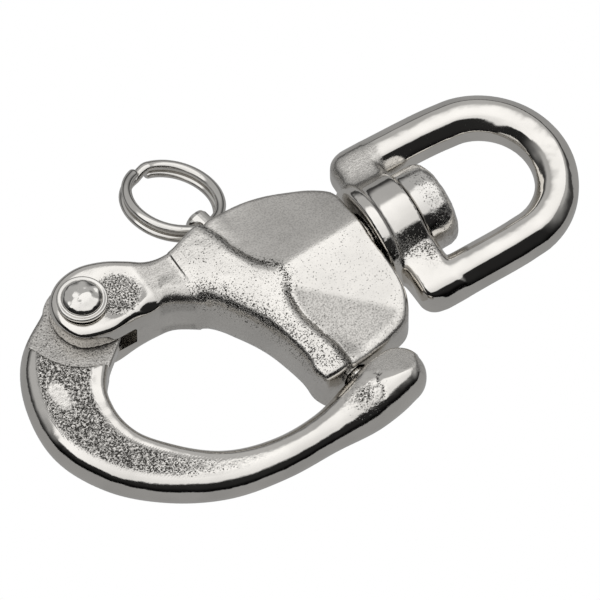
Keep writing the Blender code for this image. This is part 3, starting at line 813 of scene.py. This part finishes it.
def steel_material(name, colour, roughness, grain=0.0, fine=0.3, marked=False):
    """Stainless steel: grain is coarse casting skin, fine is tumbling haze.  A marked piece
    carries four masks, in this order: casting skin (grain, with painted shade in its hollows),
    pits painted dark as shade, blasted satin (with a sand speckle darkened as painted shade), and
    painted shade that greys some facets."""
    material = bpy.data.materials.new(name)
    material.use_nodes = True
    tree = material.node_tree
    shader = tree.nodes["Principled BSDF"]
    shader.inputs["Metallic"].default_value = 1.0

    cloud = ramp_node(tree, noise_node(tree, 0.18, 3.0), 0.3, 0.7)
    coarse = noise_node(tree, 1.9, 3.0, 0.65)
    sand = noise_node(tree, 5.5, 2.0, 0.6)
    pits = noise_node(tree, 5.0, 2.5, 0.75)
    wave = noise_node(tree, 0.4, 1.5)
    if marked:
        masks = [mark_node(tree, key) for key in ("grain", "soot", "satin", "dull")]
    else:
        masks = [grain, 0.0, 0.0, 0.0]
    grain_mask, shaded_pits_mask, satin_mask, painted_shade_mask = masks

    # Pits painted dark as shade: more of them where their mask is high.
    threshold = math_node(tree, "SUBTRACT", 0.7, math_node(tree, "MULTIPLY", shaded_pits_mask, 0.25))
    above = math_node(tree, "SUBTRACT", pits, threshold)
    pit = math_node(tree, "MULTIPLY", above, PIT_SHARPNESS, clamp=True)
    if marked:
        pit = math_node(tree, "MULTIPLY", pit, ramp_node(tree, shaded_pits_mask, 0.0, 0.1))

    # Colour: cloudy steel, with painted shade in the pits and a little in the grain's hollows,
    # painted shade on some facets, and a sand speckle with painted shade on blasted faces.
    tone = tree.nodes.new("ShaderNodeMix")
    tone.data_type = "RGBA"
    tree.links.new(cloud, tone.inputs["Factor"])
    tone.inputs["A"].default_value = (*(0.88 * c for c in colour), 1.0)
    tone.inputs["B"].default_value = (*colour, 1.0)
    shade_and_speckle_mix = tree.nodes.new("ShaderNodeMix")
    shade_and_speckle_mix.data_type = "RGBA"
    # Painted shade in the low places of the casting skin's relief.
    hollow_shade = math_node(tree, "MULTIPLY", ramp_node(tree, coarse, 0.52, 0.36), grain_mask)
    speckle_and_painted_shade = math_node(tree, "MAXIMUM", pit, math_node(tree, "MULTIPLY", hollow_shade, 0.6))
    # Painted shade: a speckled darker tone that greys some facets.
    facet_shade = math_node(tree, "MULTIPLY", painted_shade_mask, ramp_node(tree, sand, 0.3, 0.7, 0.7, 1.0))
    # Blasted faces: a sand speckle, darkened as painted shade.
    sand_speckle_and_shade = math_node(tree, "MULTIPLY", satin_mask, ramp_node(tree, sand, 0.42, 0.64, 0.0, 0.26))
    speckle_and_painted_shade = math_node(tree, "MAXIMUM", speckle_and_painted_shade, math_node(tree, "ADD", facet_shade, sand_speckle_and_shade))
    tree.links.new(math_node(tree, "MULTIPLY", speckle_and_painted_shade, 0.96), shade_and_speckle_mix.inputs["Factor"])
    tree.links.new(tone.outputs["Result"], shade_and_speckle_mix.inputs["A"])
    shade_and_speckle_mix.inputs["B"].default_value = (*SHADE_AND_SPECKLE_COLOUR, 1.0)
    tree.links.new(shade_and_speckle_mix.outputs["Result"], shader.inputs["Base Color"])

    # Roughness: polished, hazier in the clouds, rough where cast or blasted.
    rough = math_node(tree, "ADD", roughness, math_node(tree, "MULTIPLY", cloud, 0.03))
    rough = math_node(tree, "ADD", rough, math_node(tree, "MULTIPLY", grain_mask, 0.1))
    rough = math_node(tree, "ADD", rough, math_node(tree, "MULTIPLY", satin_mask, 0.2))
    rough = math_node(tree, "ADD", rough, math_node(tree, "MULTIPLY", speckle_and_painted_shade, 0.15), clamp=True)
    tree.links.new(rough, shader.inputs["Roughness"])

    # Relief: coarse casting skin, sand texture, pits and a slow waviness.
    relief = math_node(tree, "MULTIPLY", coarse, math_node(tree, "MULTIPLY", grain_mask, 1.3))
    sandy = math_node(tree, "ADD", fine * 0.08, math_node(tree, "MULTIPLY", satin_mask, 0.16))
    relief = math_node(tree, "ADD", relief, math_node(tree, "MULTIPLY", sand, sandy))
    relief = math_node(tree, "SUBTRACT", relief, math_node(tree, "MULTIPLY", pit, 0.16))
    waviness = math_node(tree, "MULTIPLY", wave, 0.5 if marked else 0.1)
    relief = math_node(tree, "ADD", relief, waviness)
    bump = tree.nodes.new("ShaderNodeBump")
    bump.inputs["Strength"].default_value = 1.0
    bump.inputs["Distance"].default_value = RELIEF_DEPTH * MM
    tree.links.new(relief, bump.inputs["Height"])
    tree.links.new(bump.outputs["Normal"], shader.inputs["Normal"])
    return material


def band(value, low, high, soft):
    """1 between low and high, fading out over soft."""
    return ramp(value, low - soft, low) * (1 - ramp(value, high, high + soft))


BARREL_EDGE = (-22.6, -22.0)


def body_marks(x, y, z):
    """The body's masks: cast skin on the barrel and in the dish, blasted facets elsewhere.  Pits
    painted dark as shade gather in the dish, along the valley and at the opening's edge, and
    painted shade greys a patch of the tip facet and the neck.
    """
    _, valley, _ = nearest_on(spline(VALLEY, 4), x, y)
    edge = -outline_distance(spline(BODY_OUTLINE, 4, closed=True), x, y)
    face = ramp(np.abs(z), 1.0, 1.9)
    barrel = ramp(-valley, -0.1, 0.4) * ramp(x, *BARREL_EDGE)
    # Along the valley: casting skin with pits painted dark as shade in the crease between ridge
    # and roof.
    valley_skin_and_shade = np.exp(-((valley + 0.35) ** 2) / 0.7) * ramp(x, *BARREL_EDGE)
    lug_dish = 1 - ramp(np.hypot(x - LUG_DISH[0], y - LUG_DISH[1]), 2.2, 3.2)
    opening_edge = np.exp(-((edge - 1.3) ** 2) / 1.6) * ramp(y, -15, -12)
    opening_edge = opening_edge * (1 - ramp(y, 2, 6)) * barrel
    ring_facet = ramp(valley, 0.0, 0.5) * ramp(y, -0.6, 0.6) * face
    tip_facet = ramp(valley, 0.0, 0.5) * (1 - ramp(y, -0.6, 0.6)) * face
    low_patch = tip_facet * ramp(-7.4 - 0.95 * (x + 6.9) - y, -0.6, 0.6)
    neck = face * band(x, -25.6, -22.4, 0.5)
    grain = face * (0.07 * barrel + 0.7 * lug_dish + 0.2 * valley_skin_and_shade + 0.12 * opening_edge)
    grain = grain + 0.04 * tip_facet
    # Pits painted dark as shade, thickest in the dish and along the valley.
    soot = face * (0.3 * barrel + 0.8 * lug_dish + 0.6 * valley_skin_and_shade + 0.4 * opening_edge)
    soot = soot + 0.24 * tip_facet + 0.2 * neck
    satin = 1.0 * ring_facet + 0.9 * low_patch + 0.3 * (1 - face) + 0.55 * neck + 0.25 * barrel
    # Painted shade greying a patch of the tip facet and the neck.
    dull = 0.32 * low_patch * ramp(edge, 1.0, 1.6) + 0.22 * neck
    return {"grain": grain, "soot": soot, "satin": satin, "dull": dull}


def jaw_marks(x, y, z):
    """The jaw's masks: cast skin between polished rims, a pitted patch, a crease and a facet at
    the tip, and the dull shoulder round the hinge.  The pits and the crease are painted dark as
    shade, and the shoulder is greyed with painted shade."""
    away, _, _, across, place_on = JAW_TABLE(x, y)
    flat = ramp(np.abs(z), 1.6, 2.2)
    share = place_on / (len(JAW_CURVE) - 1)
    inner_rim = ramp(away, -2.0, -1.6) * (across > 0)
    outer_rim = ramp(away, -2.1, -1.6) * (across <= 0)
    cast_skin = flat * (1 - np.maximum(inner_rim, outer_rim)) * (1 - ramp(share, 0.42, 0.66))
    tip_patch = np.exp(-(((x + 12.6) / 1.9) ** 2 + ((y + 18.3) / 1.5) ** 2)) * ramp(z, 0.5, 1.5)
    end_facet = ramp(past_crest(x, y), 0.0, 0.25) * (x > -12.5) * (y < -13)
    end_facet = end_facet * ramp(np.abs(z), 0.8, 1.6)
    crease = np.exp(-((crease_offset(x, y) / CREASE_WIDTH) ** 2))
    crease = crease * (1 - end_facet) * ramp(z, 2.0, 2.4)
    crease = crease * (y > -19.8) * (y < -14)
    blotch = 1 - ramp(np.hypot((x + 41.2) / 1.0, y / 2.0), 0.7, 1.2)
    from_hinge = np.hypot(x - HINGE[0], y - HINGE[1])
    shoulder = 1 - ramp(from_hinge, SHOULDER_RADIUS - 0.3, SHOULDER_RADIUS + 0.1)
    shoulder = shoulder * ramp(np.abs(z), 0.7, 1.0)
    grain = 0.95 * cast_skin * (1 - 0.7 * blotch) + 0.8 * tip_patch
    soot = 0.85 * cast_skin * (1 - 0.8 * blotch) + 0.9 * tip_patch
    grain = grain * (1 - shoulder) + 0.25 * shoulder
    soot = soot * (1 - shoulder) + 0.4 * shoulder
    # Painted shade along the crease: dark pits packed densely.
    soot = np.maximum(soot, 1.2 * crease)
    satin = 0.3 * cast_skin + 0.9 * shoulder + 0.8 * end_facet
    # Painted shade greys the shoulder.
    return {"grain": grain, "soot": soot, "satin": satin, "dull": 0.35 * shoulder}


def bail_marks(x, y, z):
    """The bail's masks: a pitted patch and seam on the bar, and a blasted block.  The pits are
    painted dark as shade, and the block is greyed a little with painted shade.
    """
    patch = np.exp(-(((x - 3.8) / 1.3) ** 2 + ((y + 6.3) / 1.7) ** 2)) * ramp(z, 0.5, 1.5)
    seam = np.exp(-(((x - 1.5) / 1.6) ** 2 + ((y + 4.9) / 1.2) ** 2)) * ramp(z, 0.5, 1.5)
    block = band(y, 5.0, 9.0, 1.0) * band(x, 0.0, 5.5, 0.8) * ramp(z, 0.5, 1.5)
    grain = 0.35 * patch + 0.5 * seam + 0.15 * block
    soot = 0.8 * patch + 0.9 * seam
    return {"grain": grain, "soot": soot, "satin": 0.8 * block, "dull": 0.15 * block}


# ---------------------------------------------------------------- small pieces

RIVET_SEAT = ARM_HEIGHT + 0.3
RING_RADIUS = 5.43
RING_WIRE = 1.24
RING_FLATNESS = 0.8
RING_PITCH = 1.2
RING_STEP_HALF = math.radians(10)
RING_SET_IN = 0.18
RING_DROOP = math.radians(5)
CROSS_HOLE_AT = -11.15
SPRING_WIRE = 0.3
SPRING_RADIUS = 1.79
SPRING_TURNS = 7
SPRING_LOW = BUSH_TO + GAP + SPRING_WIRE / 2
SPRING_HIGH = COLLAR_FROM - GAP - SPRING_WIRE / 2
STUD_RADIUS = 2.9
STUD_END = -7.2
STUD_HEAD_RADIUS = 5.05
STUD_HEAD_FROM = 5.0
STUD_HEAD_TO = 9.4


def on_plunger(distance):
    """A point on the plunger's axis."""
    return Vector((PLUNGER_X, 0.0, 0.0)) + PLUNGER_AXIS * distance


def hammered(points, amount, size, seed):
    """Moves points in and out a little, as hammer blows leave a metal face.  The number seed
    only sets two pieces apart: noise_vector also adds an offset from mathutils' own random
    state, which nothing here seeds, so these marks differ from one run to the next."""
    moved = []
    for point in points:
        at = Vector(point) / size + Vector((seed, 0.0, 0.0))
        push = noise.noise_vector(at) + 0.5 * noise.noise_vector(at * 2.3)
        moved.append(Vector(point) + push * amount)
    return np.array([tuple(p) for p in moved])


def rounded_profile(corners, radius, steps=4):
    """A turned profile whose inner corners are rounded."""
    rounded = [corners[0]]
    for before, corner, after in zip(corners, corners[1:], corners[2:]):
        a, b, c = Vector(before), Vector(corner), Vector(after)
        reach = min(radius, (a - b).length * 0.45, (c - b).length * 0.45)
        start, end = b + (a - b).normalized() * reach, b + (c - b).normalized() * reach
        for k in range(steps + 1):
            t = k / steps
            rounded.append(tuple((1 - t) ** 2 * start + 2 * t * (1 - t) * b + t**2 * end))
    return rounded + [corners[-1]]


def finer(profile, step):
    """Adds points to a profile so that no span is longer than step."""
    fine = [profile[0]]
    for start, end in zip(profile, profile[1:]):
        count = max(1, math.ceil(math.dist(start, end) / step))
        for k in range(1, count + 1):
            t = k / count
            fine.append(tuple(a + (b - a) * t for a, b in zip(start, end)))
    return fine


def make_rivet(material):
    top = RIVET_SEAT + 1.5
    half = [
        (top, 0.02),
        (top - 0.08, 1.0),
        (top - 0.42, 1.95),
        (top - 0.78, 2.3),
        (top - 0.98, 2.32),
        (top - 1.0, 2.5),
        (top - 0.92, 2.72),
        (top - 1.05, 2.92),
        (RIVET_SEAT, 2.92),
        (RIVET_SEAT, 1.9),
    ]
    profile = half + [(-distance, radius) for distance, radius in reversed(half)]
    profile = finer(rounded_profile(profile, 0.16), 0.3)
    points, faces = turned(profile, (*HINGE, 0.0), (0, 0, 1), 72)
    moved = hammered(points, 0.1, 1.1, 3.0)
    on_dome = np.hypot(points[:, 0] - HINGE[0], points[:, 1] - HINGE[1]) < 2.1
    on_dome &= np.abs(points[:, 2]) > RIVET_SEAT + 0.5
    points = np.where(on_dome[:, None], moved, points)
    piece_from("rivet_peened", points, faces, "body", material, "hinge_rivet")


def make_stud(material):
    profile = [
        (STUD_END, 0.02),
        (STUD_END, STUD_RADIUS - 0.4),
        (STUD_END + 0.4, STUD_RADIUS),
        (STUD_HEAD_FROM, STUD_RADIUS),
        (STUD_HEAD_FROM, STUD_HEAD_RADIUS - 0.25),
        (STUD_HEAD_FROM + 0.3, STUD_HEAD_RADIUS - 0.05),
        (STUD_HEAD_TO - 1.5, STUD_HEAD_RADIUS - 0.02),
        (STUD_HEAD_TO - 0.75, STUD_HEAD_RADIUS - 0.35),
        (STUD_HEAD_TO - 0.3, 3.9),
        (STUD_HEAD_TO - 0.1, 2.2),
        (STUD_HEAD_TO - 0.1, 0.02),
    ]
    profile = finer(rounded_profile(profile, 0.25), 0.25)
    points, faces = turned(profile, (0, 0, 0), (1, 0, 0), 128)
    moved = hammered(points, 0.07, 1.1, 7.0)
    share = ramp(points[:, 0], STUD_HEAD_FROM + 0.5, STUD_HEAD_FROM + 1.6)[:, None]
    points = points + (moved - points) * share
    from_axis = np.maximum(np.hypot(points[:, 1], points[:, 2]), 1e-6)
    limit = np.minimum(1, STUD_HEAD_RADIUS / from_axis)
    points[:, 1:] *= limit[:, None]

    def marks(x, y, z):
        # Peened head: rough, with pits painted dark as shade.
        rough = ramp(x, STUD_HEAD_FROM + 0.6, STUD_HEAD_FROM + 1.8)
        return {"grain": 0.2 * rough, "soot": 0.45 * rough, "satin": 0.1 * rough, "dull": 0 * x}

    piece_from(
        "stud_peened", points, faces, "body", material, "swivel_stud", marks
    )


def make_ring(material):
    level = Vector((math.cos(PLUNGER_TILT), math.sin(PLUNGER_TILT), 0.0))
    hinge = level * math.cos(PLUNGER_ROLL) - Vector((0, 0, 1)) * math.sin(PLUNGER_ROLL)
    upright = hinge.cross(-PLUNGER_AXIS)
    outward = -PLUNGER_AXIS * math.cos(RING_DROOP) - upright * math.sin(RING_DROOP)
    axis = hinge.cross(outward)
    centre = on_plunger(CROSS_HOLE_AT) + outward * (RING_RADIUS - RING_SET_IN)
    count = 300
    reach = math.tau - RING_STEP_HALF - math.radians(3)
    path = []
    for k in range(count + 1):
        angle = reach * (2 * k / count - 1)
        share = min(max(0.5 + 0.5 * angle / RING_STEP_HALF, 0.0), 1.0)
        rise = RING_PITCH * (share * share * (3 - 2 * share) - 0.5)
        radial = outward * math.cos(angle) + hinge * math.sin(angle)
        path.append(centre + radial * RING_RADIUS + axis * rise)
    points, faces = swept_wire(path, RING_WIRE / 2, 20, axis, RING_FLATNESS)
    piece_from("ring_wire", points, faces, "pull_ring", material, "pull_ring")


def make_spring(material):
    across = PLUNGER_AXIS.cross(Vector((0, 0, 1)))
    length = SPRING_HIGH - SPRING_LOW
    turn = 24
    count = turn * SPRING_TURNS
    path = []
    for k in range(count + 1):
        angle = math.tau * k / turn
        radial = across * math.cos(angle) + Vector((0, 0, 1)) * math.sin(angle)
        along = SPRING_LOW + length * k / count
        path.append(on_plunger(along) + radial * SPRING_RADIUS)
    points, faces = swept_wire(path, SPRING_WIRE / 2, 10)
    spring = piece_from(
        "coil_spring", points, faces, "body", material, "plunger_spring"
    )
    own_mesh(spring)


# ---------------------------------------------------------------- build


NET_STEP = 0.24


def build_pieces():
    cast = steel_material("cast_steel", (0.82, 0.795, 0.755), 0.07, marked=True)
    turned_steel = steel_material("turned_steel", (0.80, 0.78, 0.745), 0.1, grain=0.03)
    peened = steel_material("peened_steel", (0.82, 0.80, 0.765), 0.1, marked=True)
    wire_steel = steel_material("wire_steel", (0.80, 0.78, 0.745), 0.08, fine=0.1)
    polished = steel_material("polished_steel", (0.82, 0.795, 0.755), 0.06, fine=0.1, marked=True)

    points, faces = surface_net(body_field, (-38.2, -15.5, -5.9), (-0.8, 13.2, 5.9), NET_STEP)
    piece_from("body_cast", points, faces, "body", cast, "body", body_marks)
    points, faces = surface_net(jaw_field, (-46.2, -22.0, -3.5), (-4.0, 13.2, 3.5), NET_STEP)
    piece_from("jaw_cast", points, faces, "jaw", cast, "jaw", jaw_marks)
    points, faces = surface_net(bail_field, (-1.0, -12.5, -6.5), (25.8, 11.5, 6.5), NET_STEP)
    piece_from("bail_cast", points, faces, "bail", polished, "bail", bail_marks)
    make_rivet(turned_steel)
    make_stud(peened)
    make_spring(wire_steel)
    make_ring(wire_steel)
    for node in ("plunger", "plunger_bush"):
        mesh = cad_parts[node].data
        mesh.materials.clear()
        mesh.materials.append(turned_steel)
        mesh.shade_smooth()
        mesh.set_sharp_from_angle(angle=CAD_SHARP_FROM)


# ---------------------------------------------------------------- studio

# The softbox's sides are directions over height, so they are in the world and stay put when
# the camera moves.
SOFTBOX_X = (-1.43, 1.15)
SOFTBOX_Y = (-0.9, 0.58)
SOFTBOX_EDGE = 0.12
SOFTBOX_GLOW = 1.2
SOFTBOX_FALL = 0.3
GREY_GLOW = 0.5
DARK_GLOW = 0.02
LOW_GLOW = 0.1
FLOOR_GLOW = 0.34
FLOOR_SIDE = 4.0
FLOOR_BELOW = 0.00005


def make_world():
    """A white softbox overhead and grey surroundings, dark on the side that the photograph was
    taken from.  The background is plain white where the camera sees it."""
    world = bpy.data.worlds.new("studio")
    bpy.context.scene.world = world
    world.use_nodes = True
    tree = world.node_tree
    background = tree.nodes["Background"]
    direction = tree.nodes.new("ShaderNodeTexCoord").outputs["Generated"]
    parts = tree.nodes.new("ShaderNodeSeparateXYZ")
    tree.links.new(direction, parts.inputs[0])
    x, y, z = parts.outputs
    height = math_node(tree, "MAXIMUM", z, 0.05)
    inside = None
    for value, (low, high) in ((x, SOFTBOX_X), (y, SOFTBOX_Y)):
        flat = math_node(tree, "DIVIDE", value, height)
        near = ramp_node(tree, flat, low - SOFTBOX_EDGE, low + SOFTBOX_EDGE)
        far = ramp_node(tree, flat, high - SOFTBOX_EDGE, high + SOFTBOX_EDGE, 1.0, 0.0)
        for edge in (near, far):
            inside = edge if inside is None else math_node(tree, "MULTIPLY", inside, edge)
    back = view_axes()[2]
    toward = math_node(
        tree,
        "ADD",
        math_node(tree, "MULTIPLY", x, back.x),
        math_node(tree, "MULTIPLY", y, back.y),
    )
    surround = ramp_node(tree, toward, -0.15, 0.2, GREY_GLOW, DARK_GLOW)
    low_down = ramp_node(tree, z, 0.1, 0.42, LOW_GLOW, 1.0)
    surround = math_node(tree, "MULTIPLY", surround, low_down)
    across = math_node(tree, "DIVIDE", y, height)
    fall = ramp_node(tree, across, -0.8, 0.4, SOFTBOX_GLOW - SOFTBOX_FALL, SOFTBOX_GLOW)
    lit = math_node(tree, "MULTIPLY", inside, fall)
    unlit = math_node(tree, "MULTIPLY", math_node(tree, "SUBTRACT", 1.0, inside), surround)
    glow = math_node(tree, "ADD", lit, unlit)
    seen = tree.nodes.new("ShaderNodeLightPath").outputs["Is Camera Ray"]
    mix = tree.nodes.new("ShaderNodeMix")
    mix.data_type = "FLOAT"
    tree.links.new(seen, mix.inputs["Factor"])
    tree.links.new(glow, mix.inputs["A"])
    mix.inputs["B"].default_value = 1.0
    tree.links.new(mix.outputs["Result"], background.inputs["Color"])
    background.inputs["Strength"].default_value = 1.0


def make_floor():
    """A plain floor that gives its own light, so it takes no shadow: white where the camera
    sees it, and light grey in the steel."""
    mesh = bpy.data.meshes.new("floor")
    signs = ((-1, -1), (1, -1), (1, 1), (-1, 1))
    corners = [(a * FLOOR_SIDE, b * FLOOR_SIDE, -FLOOR_BELOW) for a, b in signs]
    mesh.from_pydata(corners, [], [(0, 1, 2, 3)])
    material = bpy.data.materials.new("floor_white")
    material.use_nodes = True
    tree = material.node_tree
    tree.nodes.remove(tree.nodes["Principled BSDF"])
    emission = tree.nodes.new("ShaderNodeEmission")
    seen = tree.nodes.new("ShaderNodeLightPath").outputs["Is Camera Ray"]
    tree.links.new(ramp_node(tree, seen, 0.0, 1.0, FLOOR_GLOW, 1.0), emission.inputs["Strength"])
    tree.links.new(emission.outputs[0], tree.nodes["Material Output"].inputs["Surface"])
    mesh.materials.append(material)
    floor = bpy.data.objects.new("floor", mesh)
    bpy.context.scene.collection.objects.link(floor)


build_pieces()
make_camera()
make_world()
make_floor()
bpy.context.scene.view_settings.view_transform = "Standard"
